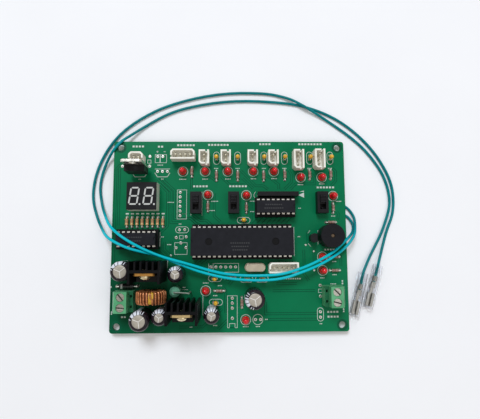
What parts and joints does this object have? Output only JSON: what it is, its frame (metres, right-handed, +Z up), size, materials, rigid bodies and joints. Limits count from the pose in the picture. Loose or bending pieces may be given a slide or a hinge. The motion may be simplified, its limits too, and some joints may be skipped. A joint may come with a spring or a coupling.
{
  "type": "automatic door control board",
  "caption": "Control circuit board for an automatic coop door, with screw terminals, sockets, slide switches, display and loose lead wires.",
  "frame": {"origin": "centre of the board, on the surface that its solder joints stand on", "axes": "+X along the long side towards the motor terminals, +Y towards the row of sockets, +Z up out of the component side"},
  "size_m": [0.1622, 0.1285, 0.0236],
  "materials": {
    "pcb": "green solder mask, glossy",
    "solder": "bright solder",
    "display_shell": "pale filled plastic",
    "display_black": "black face with pale grey segments",
    "socket_black": "moulded black plastic",
    "chip_black": "black epoxy, slightly rough",
    "tinned": "tin plated",
    "network_black": "dipped black coating",
    "header_white": "off-white nylon",
    "pin_gold": "plated pins",
    "switch_black": "moulded black plastic",
    "knob_black": "ridged black knob",
    "block_green": "green moulded plastic",
    "screw_steel": "zinc plated",
    "buzzer_black": "black plastic can",
    "package_black": "black epoxy",
    "tab_metal": "tinned copper tab",
    "sink_black": "black anodised extrusion",
    "screw_gold": "yellow passivated",
    "ferrite": "painted powder core, yellowish",
    "copper": "enamelled copper wire",
    "can_metal": "plain can top with a scored vent",
    "can_sleeve": "shrunk dark film with a pale stripe",
    "ceramic": "dipped tan coating",
    "resistor_body": "lacquered, with colour bands",
    "led_red": "clear red lens",
    "diode_black": "black body with a pale band",
    "suppressor_green": "pale green body",
    "crystal_metal": "drawn metal can",
    "transistor_black": "black epoxy",
    "wire_teal": "thin teal insulation",
    "terminal_tin": "tin plated brass",
    "sleeve_clear": "clear soft plastic"
  },
  "bodies": {
    "board": {"circuit_board": "pcb", "solder_joints": "solder", "display_case": "display_shell", "display_face": "display_black", "chip_sockets": "socket_black", "main_chip": "chip_black", "driver_chip": "chip_black", "buffer_chip": "chip_black", "chip_legs": "tinned", "resistor_network": "network_black", "lamp_header": "header_white", "sensor_header": "header_white", "run_key_headers": "header_white", "door_headers": "header_white", "motor_sensor_headers": "header_white", "control_header": "header_white", "header_pins": "pin_gold", "run_switch_housing": "switch_black", "door_switch_housing": "switch_black", "auto_switch_housing": "switch_black", "switch_contacts": "pin_gold", "power_terminal_block": "block_green", "motor_terminal_block": "block_green", "terminal_bars": "tinned", "buzzer": "buzzer_black", "power_packages": "package_black", "power_package_tabs": "tab_metal", "rear_heat_sink": "sink_black", "front_heat_sink": "sink_black", "regulator_screws": "screw_gold", "inductor_core": "ferrite", "inductor_winding": "copper", "capacitor_cans": "can_metal", "capacitor_sleeves": "can_sleeve", "ceramic_capacitors": "ceramic", "resistors": "resistor_body", "indicator_leds": "led_red", "rectifier_diode": "diode_black", "surge_suppressor": "suppressor_green", "crystal": "crystal_metal", "small_transistor": "transistor_black", "component_leads": "tinned", "inner_wire": "wire_teal", "outer_wire": "wire_teal", "inner_terminal": "terminal_tin", "outer_terminal": "terminal_tin", "inner_sleeve": "sleeve_clear", "outer_sleeve": "sleeve_clear"},
    "run_knob": {"run_switch_knob": "knob_black"},
    "door_knob": {"door_switch_knob": "knob_black"},
    "auto_knob": {"auto_switch_knob": "knob_black"},
    "power_screw_1_body": {"power_screw_1": "screw_steel"},
    "power_clamp_1_body": {"power_clamp_1": "screw_steel"},
    "power_screw_2_body": {"power_screw_2": "screw_steel"},
    "power_clamp_2_body": {"power_clamp_2": "screw_steel"},
    "motor_screw_1_body": {"motor_screw_1": "screw_steel"},
    "motor_clamp_1_body": {"motor_clamp_1": "screw_steel"},
    "motor_screw_2_body": {"motor_screw_2": "screw_steel"},
    "motor_clamp_2_body": {"motor_clamp_2": "screw_steel"}
  },
  "joints": [
    {"name": "run_switch_slide", "type": "slide", "parent": "board", "child": "run_knob", "axis": [0, -1, 0], "range_m": [0, 0.0034]},
    {"name": "door_switch_slide", "type": "slide", "parent": "board", "child": "door_knob", "axis": [0, -1, 0], "range_m": [0, 0.0034]},
    {"name": "auto_switch_slide", "type": "slide", "parent": "board", "child": "auto_knob", "axis": [0, -1, 0], "range_m": [0, 0.0034]},
    {"name": "power_screw_1_turn", "type": "hinge", "parent": "board", "child": "power_screw_1_body", "pos_m": [-0.05305, -0.03046, 0.0126], "axis": [0, 0, -1], "range_deg": [0, 1440]},
    {"name": "power_clamp_1_rise", "type": "slide", "parent": "board", "child": "power_clamp_1_body", "axis": [0, 0, 1], "range_m": [0, 0.0018]},
    {"name": "power_screw_2_turn", "type": "hinge", "parent": "board", "child": "power_screw_2_body", "pos_m": [-0.05305, -0.03554, 0.0126], "axis": [0, 0, -1], "range_deg": [0, 1440]},
    {"name": "power_clamp_2_rise", "type": "slide", "parent": "board", "child": "power_clamp_2_body", "axis": [0, 0, 1], "range_m": [0, 0.0018]},
    {"name": "motor_screw_1_turn", "type": "hinge", "parent": "board", "child": "motor_screw_1_body", "pos_m": [0.05265, -0.02871, 0.0126], "axis": [0, 0, -1], "range_deg": [0, 1440]},
    {"name": "motor_clamp_1_rise", "type": "slide", "parent": "board", "child": "motor_clamp_1_body", "axis": [0, 0, 1], "range_m": [0, 0.0018]},
    {"name": "motor_screw_2_turn", "type": "hinge", "parent": "board", "child": "motor_screw_2_body", "pos_m": [0.05265, -0.03379, 0.0126], "axis": [0, 0, -1], "range_deg": [0, 1440]},
    {"name": "motor_clamp_2_rise", "type": "slide", "parent": "board", "child": "motor_clamp_2_body", "axis": [0, 0, 1], "range_m": [0, 0.0018]}
  ],
  "couplings": [
    {"joint": "power_screw_1_turn", "follows": "power_clamp_1_rise", "rad_per_m": 13962},
    {"joint": "power_screw_2_turn", "follows": "power_clamp_2_rise", "rad_per_m": 13962},
    {"joint": "motor_screw_1_turn", "follows": "motor_clamp_1_rise", "rad_per_m": 13962},
    {"joint": "motor_screw_2_turn", "follows": "motor_clamp_2_rise", "rad_per_m": 13962}
  ]
}
